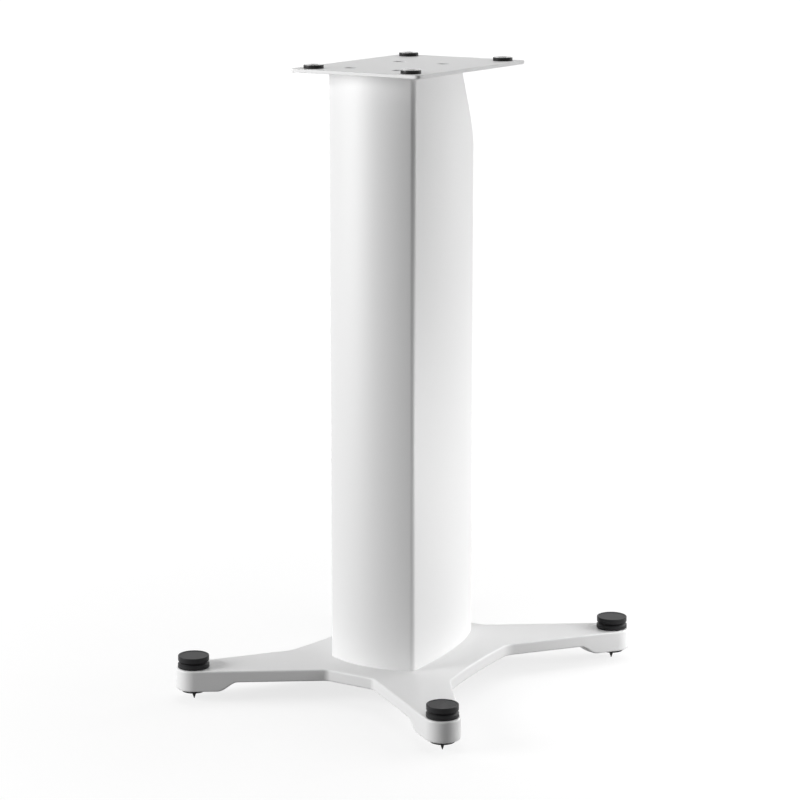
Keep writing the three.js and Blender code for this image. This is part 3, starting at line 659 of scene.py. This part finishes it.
# %% Turn the screws, bolts and washers
PORTS = {-1: (27.25, -61.25), 1: (25.25, 24.25)}
PORT_BORE = 3.2
PLATE_UNDERSIDE = 621.5
M6_CORE = 2.4
M6_RADIUS = 2.9
M6_THREAD_DEPTH = 0.45
M6_PITCH = 1
CHAMFER = 0.5
SCREW_END = 603
SCREW_THREAD_TOP = 620
SCREW_KEY_FLOOR = 621.25
SCREW_HEAD_FOOT = 621.75
SCREW_HEAD_TOP = 623.75
HEAD_RADIUS = 6
BOLT_FOOT = 20.75
BOLT_KEY_DEPTH = 3
BOLT_HEAD_RADIUS = 5
BOLT_SHOULDER = 26.75
BOLT_THREAD = (30, 46)
BOLT_END = 46.75
WASHER_TOP = 28
WASHER_RADIUS = 6


def port_place(side, end):
    """The middle of one of the column's four screw ports."""
    x, y = PORTS[end]
    return side * x, y


def keyed(width, low, high):
    """The fastener's inputs for a key socket between two heights, from sizes in millimetres."""
    return {"Key_width": width * MM, "Key_from": low * MM, "Key_to": high * MM}


screw_profile = rounded_profile([
    (0, SCREW_END), (M6_CORE, SCREW_END), (M6_RADIUS, SCREW_END + CHAMFER), (M6_RADIUS, SCREW_HEAD_FOOT),
    (HEAD_RADIUS, SCREW_HEAD_TOP, 0.12), (0, SCREW_HEAD_TOP),
], spacing=0.2)
bolt_profile = rounded_profile([
    (0, BOLT_FOOT), (BOLT_HEAD_RADIUS - CHAMFER, BOLT_FOOT), (BOLT_HEAD_RADIUS, BOLT_FOOT + CHAMFER, 0.2),
    (BOLT_HEAD_RADIUS, BOLT_SHOULDER, 0.1), (M6_RADIUS, BOLT_SHOULDER), (M6_RADIUS, BOLT_END - CHAMFER),
    (M6_CORE, BOLT_END), (0, BOLT_END),
], spacing=0.2)
washer_profile = rounded_profile([
    (PORT_BORE, BOLT_SHOULDER), (WASHER_RADIUS, BOLT_SHOULDER, 0.15), (WASHER_RADIUS, WASHER_TOP, 0.15),
    (PORT_BORE, WASHER_TOP), (PORT_BORE, BOLT_SHOULDER),
])
screw_form = {**threaded(M6_THREAD_DEPTH, M6_PITCH, SCREW_END + CHAMFER, SCREW_THREAD_TOP),
              **keyed(4, SCREW_KEY_FLOOR, SCREW_HEAD_TOP + 1)}
bolt_form = {**threaded(M6_THREAD_DEPTH, M6_PITCH, *BOLT_THREAD),
             **keyed(5, BOLT_FOOT - 1, BOLT_FOOT + BOLT_KEY_DEPTH)}
for name, side, end in CORNERS:
    centre = port_place(side, end)
    screw = turn_piece(f"screw_{name}", screw_profile, centre, zinc_steel, fastener, Steps=48, **screw_form)
    hand_over(screw, f"plate_screw_{name}", "stand")
    bolt = turn_piece(f"bolt_{name}", bolt_profile, centre, zinc_steel, fastener, Steps=48, **bolt_form)
    hand_over(bolt, f"base_bolt_{name}", "stand")
    washer = turn_piece(f"washer_{name}", washer_profile, centre, zinc_steel, Steps=48)
    hand_over(washer, f"base_washer_{name}", "stand")

# %% [markdown]
# ## Slabs
# The casting and the plate are both slabs: an outline with softened edges, flat on top, with holes that
# go right through. A slab is made from rings of points round the outline. The top and the underside are
# filled by a triangulation that keeps the outline and the holes as they are.

# %% Outlines in two dimensions
RUN_LIMIT = 0.9


def corner_arc(before, corner, after, radius, steps):
    """The points of a round corner between two straight runs."""
    back = before - corner
    on = after - corner
    half = back.angle(on) / 2
    trim = min(radius / math.tan(half), RUN_LIMIT * min(back.length, on.length))
    arc_radius = trim * math.tan(half)
    centre = corner + (back.normalized() + on.normalized()).normalized() * (trim / math.cos(half))
    start = corner + back.normalized() * trim - centre
    end = corner + on.normalized() * trim - centre
    first = math.atan2(start.y, start.x)
    turn = (math.atan2(end.y, end.x) - first + math.pi) % (2 * math.pi) - math.pi
    angles = [first + turn * step / steps for step in range(steps + 1)]
    return [centre + Vector((math.cos(angle), math.sin(angle))) * arc_radius for angle in angles]


def finer(points, spacing):
    """The closed outline with no run longer than the spacing."""
    made = []
    for i, start in enumerate(points):
        end = points[(i + 1) % len(points)]
        pieces = max(1, math.ceil((end - start).length / spacing))
        made += [start.lerp(end, step / pieces) for step in range(pieces)]
    return made


def drawn_in(points, distance):
    """The closed outline, which runs anticlockwise, moved inwards by a distance."""
    made = []
    for i, point in enumerate(points):
        run = (point - points[i - 1]).normalized() + (points[(i + 1) % len(points)] - point).normalized()
        inward = Vector((-run.y, run.x)).normalized()
        made.append(point + inward * distance)
    return made


def circle(centre, radius, steps):
    """A closed round outline."""
    angles = [2 * math.pi * step / steps for step in range(steps)]
    return [Vector((centre[0] + radius * math.cos(a), centre[1] + radius * math.sin(a))) for a in angles]


def within(points, x, y):
    """Whether a place lies inside a closed outline."""
    inside = False
    for a, b in zip(points, points[1:] + points[:1]):
        if (a.y > y) != (b.y > y) and x < (b.x - a.x) * (y - a.y) / (b.y - a.y) + a.x:
            inside = not inside
    return inside


# %% Fill an outline
HOLE_STEPS = 56
EDGE_FLAT = 0.35
CLEAR_SHARE = 0.4
# What the triangulation keeps: the whole hull, or only what lies inside the drawn edges.
WHOLE_HULL = 0
ONLY_INSIDE = 1


def middle_of(points, face):
    """The middle of a face."""
    return sum((points[i] for i in face), Vector((0, 0))) / len(face)


def filled(outline, holes, inside_points=()):
    """Triangles over an outline without its round holes, as indices into all the points in order."""
    points = []
    edges = []
    for loop in [outline] + [circle(centre, radius, HOLE_STEPS) for centre, radius in holes]:
        first = len(points)
        points += loop
        edges += [(first + i, first + (i + 1) % len(loop)) for i in range(len(loop))]
    points += inside_points
    places, _, faces, sources, _, _ = geometry.delaunay_2d_cdt(points, edges, [], ONLY_INSIDE, 1e-5)
    kept = []
    for face in faces:
        middle = middle_of(places, face)
        if all((middle - Vector(centre)).length > radius for centre, radius in holes):
            kept.append(tuple(sources[i][0] for i in face))
    return kept


def inner_spots(outline, holes, edge_radius, cell):
    """A grid of places inside an outline and clear of its edge and holes."""
    clearance = cell * CLEAR_SHARE
    kept = drawn_in(outline, edge_radius + EDGE_FLAT + clearance)
    reach_x = max(point.x for point in outline)
    reach_y = max(point.y for point in outline)
    spots = []
    for row in range(int(-reach_y / cell), int(reach_y / cell) + 1):
        for column in range(int(-reach_x / cell), int(reach_x / cell) + 1):
            spot = Vector((column * cell, row * cell))
            clear = all((spot - Vector(c)).length > profile[-1][0] + clearance for c, profile in holes)
            if clear and within(kept, spot.x, spot.y):
                spots.append(spot)
    return spots


# %% Build a slab
EDGE_ARC_STEPS = 5


def bands(first, size, count):
    """The faces between a number of rings of points, each with the same size, from a first point on."""
    faces = []
    for low in range(first, first + (count - 1) * size, size):
        for i in range(size):
            j = (i + 1) % size
            faces.append((low + i, low + size + i, low + size + j, low + j))
    return faces


def closed_mesh(name, points, faces):
    """A mesh from points in millimetres, with its faces turned outward."""
    mesh = bpy.data.meshes.new(name)
    mesh.from_pydata([(x * MM, y * MM, z * MM) for x, y, z in points], [], faces)
    tidy = bmesh.new()
    tidy.from_mesh(mesh)
    bmesh.ops.recalc_face_normals(tidy, faces=tidy.faces)
    tidy.to_mesh(mesh)
    tidy.free()
    return mesh


def slab(name, outline, top, underside, edge_radius, holes, material, cell=None):
    """
    A slab with soft edges. underside(x, y) is its lower height.
    A hole is (centre, [(radius, height), ...]), from the top down.
    """
    arc = [math.radians(90 * step / EDGE_ARC_STEPS) for step in range(EDGE_ARC_STEPS + 1)]
    edge = [(edge_radius + EDGE_FLAT, 0)]
    edge += [(edge_radius * (1 - math.sin(a)), edge_radius * (1 - math.cos(a))) for a in arc]
    edge += [(0, edge_radius + EDGE_FLAT)]
    rings = []
    for inset, drop in edge:
        rings.append([(p.x, p.y, top - drop) for p in drawn_in(outline, inset)])
    for inset, rise in reversed(edge):
        rings.append([(p.x, p.y, underside(p.x, p.y) + rise) for p in drawn_in(outline, inset)])
    verts = [point for ring in rings for point in ring]
    size = len(outline)
    faces = bands(0, size, len(rings))
    top_ids = list(range(size))
    bottom_ids = list(range(len(verts) - size, len(verts)))
    top_edge = [Vector(point[:2]) for point in rings[0]]
    bottom_edge = [Vector(point[:2]) for point in rings[-1]]
    for centre, profile in holes:
        first = len(verts)
        for radius, height in profile:
            verts += [(p.x, p.y, height) for p in circle(centre, radius, HOLE_STEPS)]
        faces += bands(first, HOLE_STEPS, len(profile))
        top_ids += range(first, first + HOLE_STEPS)
        bottom_ids += range(len(verts) - HOLE_STEPS, len(verts))
    top_holes = [(centre, profile[0][0]) for centre, profile in holes]
    faces += [tuple(top_ids[i] for i in face) for face in filled(top_edge, top_holes)]
    spots = inner_spots(outline, holes, edge_radius, cell) if cell else []
    bottom_ids += range(len(verts), len(verts) + len(spots))
    verts += [(spot.x, spot.y, underside(spot.x, spot.y)) for spot in spots]
    bottom_holes = [(centre, profile[-1][0]) for centre, profile in holes]
    faces += [tuple(bottom_ids[i] for i in face) for face in filled(bottom_edge, bottom_holes, spots)]
    mesh = closed_mesh(name, verts, faces)
    keep_edges(mesh)
    mesh.materials.append(material)
    return new_object(name, mesh)


# %% [markdown]
# ## The casting
# The base is one casting: a waisted hub with four arms. Each arm ends in a round boss, and its underside
# sweeps up from the deep boss to the thin arm in an S. The outline is drawn for one side and mirrored.

# %% Draw the casting's outline
ARM_UNDERSIDE = 20.5
BOSS_RADIUS = 17.5
BOSS_FLAT_RADIUS = 28.5
BOSS_BLEND_LENGTH = 18
BOSS_STEPS = 56
HUB_HALF_LENGTH = 108.5
HUB_END_HALF_WIDTH = 27
HUB_END_FILLET = 11
SHOULDERS = {-1: Vector((94.5, -73)), 1: Vector((83, 60))}
SHOULDER_FILLET = 22
WAIST_BOW = 2.75
WAIST_STEPS = 24
WAIST_FILLET_STEPS = 4
CAD_WAIST_STEPS = 6
OUTLINE_SPACING = 2.0


def waist_point(share):
    """A point of the right waist wall, from the rear shoulder to the front one."""
    point = SHOULDERS[1].lerp(SHOULDERS[-1], share)
    return point - Vector((WAIST_BOW * 4 * share * (1 - share), 0))


def arm_outline(shoulder, next_on_waist):
    """The right rear arm: from the hub's end, round the boss, to a shoulder of the waist."""
    boss = Vector((FOOT_X, FOOT_Y))
    hub_corner = Vector((HUB_END_HALF_WIDTH, HUB_HALF_LENGTH))
    edges = []
    for start, side in ((hub_corner, 1), (shoulder, -1)):
        run = boss - start
        towards = math.atan2(run.y, run.x) + side * math.asin(BOSS_RADIUS / run.length)
        edges.append(towards + side * math.pi / 2)
    angles = [edges[0] + (edges[1] - edges[0]) * step / BOSS_STEPS for step in range(BOSS_STEPS + 1)]
    round_boss = [boss + Vector((math.cos(a), math.sin(a))) * BOSS_RADIUS for a in angles]
    points = corner_arc(Vector((0, HUB_HALF_LENGTH)), hub_corner, round_boss[0], HUB_END_FILLET, steps=16)
    points += round_boss
    return points + corner_arc(round_boss[-1], shoulder, next_on_waist, SHOULDER_FILLET, steps=20)


def to_front(point):
    """The same place at the other end of the stand."""
    return Vector((point.x, -point.y))


rear_arm = arm_outline(waist_point(0), waist_point(1 / CAD_WAIST_STEPS))
front_arm = arm_outline(to_front(waist_point(1)), to_front(waist_point(1 - 1 / CAD_WAIST_STEPS)))
between_fillets = range(WAIST_FILLET_STEPS, WAIST_STEPS - WAIST_FILLET_STEPS + 1)
waist = [waist_point(step / WAIST_STEPS) for step in between_fillets]
right_side = rear_arm + waist + [to_front(point) for point in reversed(front_arm)]
casting_outline = right_side + [Vector((-point.x, point.y)) for point in reversed(right_side)]
casting_outline = finer(list(reversed(casting_outline)), OUTLINE_SPACING)
print("casting outline:", len(casting_outline), "points")

# %% Cast the base
CASTING_EDGE = 1.75
UNDERSIDE_CELL = 5
BUSH_HOLE = 7.3
BOLT_POCKET = 7


def casting_underside(x, y):
    """The height of the casting's underside: low at the bosses, with an S up to the arms."""
    reach = math.hypot(abs(x) - FOOT_X, abs(y) - FOOT_Y)
    share = min(max((reach - BOSS_FLAT_RADIUS) / BOSS_BLEND_LENGTH, 0), 1)
    return BOSS_UNDERSIDE + (ARM_UNDERSIDE - BOSS_UNDERSIDE) * (1 - math.cos(math.pi * share)) / 2


casting_holes = []
bush_hole = [(BUSH_HOLE + 0.3, BASE_TOP), (BUSH_HOLE, BASE_TOP - 0.3), (BUSH_HOLE, BOSS_UNDERSIDE)]
bolt_hole = [
    (PORT_BORE, BASE_TOP), (PORT_BORE, WASHER_TOP), (BOLT_POCKET, WASHER_TOP), (BOLT_POCKET, ARM_UNDERSIDE),
]
for name, side, end in CORNERS:
    casting_holes.append(((side * FOOT_X, end * FOOT_Y), bush_hole))
    casting_holes.append((port_place(side, end), bolt_hole))
casting = slab("casting", casting_outline, BASE_TOP, casting_underside, CASTING_EDGE, casting_holes,
               white_paint, UNDERSIDE_CELL)
hand_over(casting, "base_casting", "stand")

# %% [markdown]
# ## The plate
# A thin plate with small round corners. Its screws sit in deep round seats over the column's four ports,
# so the far wall of each seat shows as a dark slit from low down.

# %% Cut the plate
PLATE_HALF_WIDTH = 73
PLATE_HALF_LENGTH = 102
PLATE_CORNER_RADIUS = 4.5
PLATE_EDGE = 0.5
SEAT_RADIUS = 6.3
plate_outline = []
for side, end in AROUND:
    corner = Vector((side * PLATE_HALF_WIDTH, end * PLATE_HALF_LENGTH))
    first, second = Vector((corner.x, 0)), Vector((0, corner.y))
    if side * end < 0:
        first, second = second, first
    plate_outline += corner_arc(first, corner, second, PLATE_CORNER_RADIUS, steps=12)
plate_outline = [point + Vector((0, PLATE_CENTRE_Y)) for point in finer(plate_outline, spacing=6)]
seat = [
    (SEAT_RADIUS + 0.1, PLATE_TOP), (SEAT_RADIUS, PLATE_TOP - 0.1), (SEAT_RADIUS, SCREW_HEAD_TOP),
    (PORT_BORE, SCREW_HEAD_FOOT), (PORT_BORE, PLATE_UNDERSIDE),
]
plate_holes = [(port_place(side, end), seat) for name, side, end in CORNERS]
plate = slab("plate", plate_outline, PLATE_TOP, lambda x, y: PLATE_UNDERSIDE, PLATE_EDGE, plate_holes,
             white_paint)
hand_over(plate, "top_plate", "stand")

# %% [markdown]
# ## The column
# The column is an extrusion: one section, pulled to length. Its front is a shallow arch, its sides taper
# to a narrow rear wall, and webs with screw ports divide it. The section is drawn once as a flat region,
# and a small Geometry Nodes tree pulls it from the base to the plate.

# %% Outline of the column's section
HALF_WIDTH = 49
FRONT_Y = -80
REAR_Y = 92
REAR_HALF_WIDTH = 20.5
FRONT_RADIUS = 105
CORNER_RADIUS = 6.5
SIDE_STRAIGHT = 8
WALL = 3
ARCH_STEPS = 24
CORNER_STEPS = 16
SIDE_STEPS = 40


def section_outline(inset):
    """The section's outline, drawn in by a distance, anticlockwise from the middle of the front."""
    corner_x = HALF_WIDTH - CORNER_RADIUS
    arch_centre = FRONT_Y + FRONT_RADIUS
    corner_reach = FRONT_RADIUS - CORNER_RADIUS
    arch_angle = math.asin(corner_x / corner_reach)
    corner_y = arch_centre - corner_reach * math.cos(arch_angle)
    corner_radius = CORNER_RADIUS - inset
    right = []
    for step in range(ARCH_STEPS + 1):
        angle = arch_angle * step / ARCH_STEPS
        radius = FRONT_RADIUS - inset
        right.append(Vector((radius * math.sin(angle), arch_centre - radius * math.cos(angle))))
    for step in range(1, CORNER_STEPS + 1):
        angle = arch_angle + (math.pi / 2 - arch_angle) * step / CORNER_STEPS
        out = Vector((math.sin(angle), -math.cos(angle)))
        right.append(Vector((corner_x, corner_y)) + out * corner_radius)
    widest_y = corner_y + SIDE_STRAIGHT
    rear_angle = math.acos(REAR_HALF_WIDTH / HALF_WIDTH)
    side_reach = (REAR_Y - widest_y) / math.sin(rear_angle)
    for step in range(SIDE_STEPS + 1):
        angle = rear_angle * step / SIDE_STEPS
        normal = Vector((math.cos(angle) / HALF_WIDTH, math.sin(angle) / side_reach)).normalized()
        x = HALF_WIDTH * math.cos(angle) - normal.x * inset
        y = widest_y + side_reach * math.sin(angle) - normal.y * inset
        right.append(Vector((x, min(y, REAR_Y - inset))))
    return right + [Vector((-point.x, point.y)) for point in reversed(right[1:])]


outer_outline = section_outline(0)
inner_outline = section_outline(WALL)
print("section outline:", len(outer_outline), "points")

# %% Fill the section with its walls, webs and ports
PORT_RADIUS = 6
WEB_HALF = 1.5
WEB_REACH = 60


def is_metal(x, y):
    """Whether a place of the section is metal: wall, web or port, and not a bore."""
    port_distance = min(math.hypot(abs(x) - px, y - py) for px, py in PORTS.values())
    if port_distance < PORT_BORE:
        return False
    web = min(abs(y - py) for px, py in PORTS.values()) < WEB_HALF
    return web or port_distance < PORT_RADIUS or not within(inner_outline, x, y)


lines = [outer_outline, inner_outline]
for name, side, end in CORNERS:
    centre = port_place(side, end)
    lines += [circle(centre, PORT_RADIUS, steps=40), circle(centre, PORT_BORE, steps=32)]
for px, py in PORTS.values():
    for edge in (-WEB_HALF, WEB_HALF):
        lines.append([Vector((-WEB_REACH, py + edge)), Vector((WEB_REACH, py + edge))])
points = []
edges = []
for line in lines:
    first = len(points)
    points += line
    closed = len(line) if len(line) > 2 else 1
    edges += [(first + i, first + (i + 1) % len(line)) for i in range(closed)]
places, _, faces, _, _, _ = geometry.delaunay_2d_cdt(points, edges, [], WHOLE_HULL, 1e-4)
section_faces = []
for face in faces:
    middle = middle_of(places, face)
    if within(outer_outline, *middle) and is_metal(*middle):
        section_faces.append(tuple(face))
section = bpy.data.meshes.new("column_section")
section.from_pydata([(p.x * MM, p.y * MM, 0) for p in places], [], section_faces)
tidy = bmesh.new()
tidy.from_mesh(section)
loose = [vert for vert in tidy.verts if not vert.link_faces]
bmesh.ops.delete(tidy, geom=loose, context="VERTS")
tidy.to_mesh(section)
tidy.free()
print("column section:", len(section.polygons), "triangles")

# %% The extrusion tree
extrusion, given = modifier_tree("extruded_section", {
    "Section": ("Geometry", None), "Foot": ("Float", 0), "Length": ("Float", 1), "Finish": ("Material", None),
})
foot = add_node(extrusion, "ShaderNodeCombineXYZ", 1, 1, Z=given["Foot"])
reach = add_node(extrusion, "ShaderNodeCombineXYZ", 1, 2, Z=given["Length"])
stood = add_node(extrusion, "GeometryNodeSetPosition", 2, 0, Geometry=given["Section"], Offset=foot)
pulled = add_node(extrusion, "GeometryNodeExtrudeMesh", 3, 0, {"mode": "FACES"}, Mesh=stood,
                  Offset=reach, Individual=False)
closing = add_node(extrusion, "GeometryNodeFlipFaces", 3, 1, Mesh=stood)
joined = add_node(extrusion, "GeometryNodeJoinGeometry", 4, 0)
for part in (pulled, closing):
    feed(extrusion, joined.inputs[0], part)
welded = add_node(extrusion, "GeometryNodeMergeByDistance", 5, 0, Geometry=joined, Distance=WELD_DISTANCE)
end_tree(extrusion, 6, welded, given["Finish"])

# %% [markdown]
# Two cuts finish the column: the long slanted scoop under the plate's rear edge, where the cable goes in,
# and a round-cornered window near the base, where it comes out. Each is a prism taken away by a boolean.

# %% Make the two cutters
COLUMN_FOOT = BASE_TOP
COLUMN_TOP = PLATE_UNDERSIDE
SCOOP_START_Y = 33.5
SCOOP_LEAD = (48, -29.5)
SCOOP_DEPTH = 88.5
SCOOP_HALF_WIDTH = 60
OUTLET_HALF_WIDTH = 14
OUTLET_LOW = 41
OUTLET_HIGH = 63
OUTLET_CORNER_RADIUS = 6
OUTLET_FROM_Y = REAR_Y + 2
OUTLET_TO_Y = REAR_Y - WALL - 3


def prism_between(name, loop, push):
    """A closed prism from a loop of 3D points, in millimetres, and the way it is pushed."""
    size = len(loop)
    points = [Vector(point) for point in loop] + [Vector(point) + Vector(push) for point in loop]
    faces = [tuple(range(size)), tuple(reversed(range(size, 2 * size)))]
    faces += bands(0, size, 2)
    return new_object(name, closed_mesh(name, points, faces))


scoop_start = Vector((SCOOP_START_Y, COLUMN_TOP))
scoop_lead = Vector((SCOOP_LEAD[0], COLUMN_TOP + SCOOP_LEAD[1]))
scoop_end = Vector((REAR_Y, COLUMN_TOP - SCOOP_DEPTH))
scoop_line = [Vector((SCOOP_START_Y, COLUMN_TOP + 1))] + curve(scoop_start, scoop_lead, scoop_end, steps=40)
scoop_line += [Vector((REAR_Y + 1, scoop_end.y)), Vector((REAR_Y + 1, COLUMN_TOP + 1))]
scoop_loop = [(-SCOOP_HALF_WIDTH, point.x, point.y) for point in scoop_line]
scoop = prism_between("scoop", scoop_loop, (2 * SCOOP_HALF_WIDTH, 0, 0))

outlet_loop = []
for side, end in AROUND:
    corner = Vector((side * OUTLET_HALF_WIDTH, OUTLET_HIGH if end > 0 else OUTLET_LOW))
    level = Vector((0, corner.y))
    upright = Vector((corner.x, (OUTLET_LOW + OUTLET_HIGH) / 2))
    first, second = (upright, level) if side * end > 0 else (level, upright)
    arc = corner_arc(first, corner, second, OUTLET_CORNER_RADIUS, steps=8)
    outlet_loop += [(point.x, OUTLET_FROM_Y, point.y) for point in arc]
outlet = prism_between("outlet", outlet_loop, (0, OUTLET_TO_Y - OUTLET_FROM_Y, 0))
print("cutters:", len(scoop_loop), "and", len(outlet_loop), "points round")

# %% Pull the column and cut it
column_inputs = {"Foot": COLUMN_FOOT * MM, "Length": (COLUMN_TOP - COLUMN_FOOT) * MM, "Finish": white_paint}
column_piece = build_piece("extruded_column", section, extrusion, column_inputs, (scoop, outlet))
hand_over(column_piece, "column", "stand")
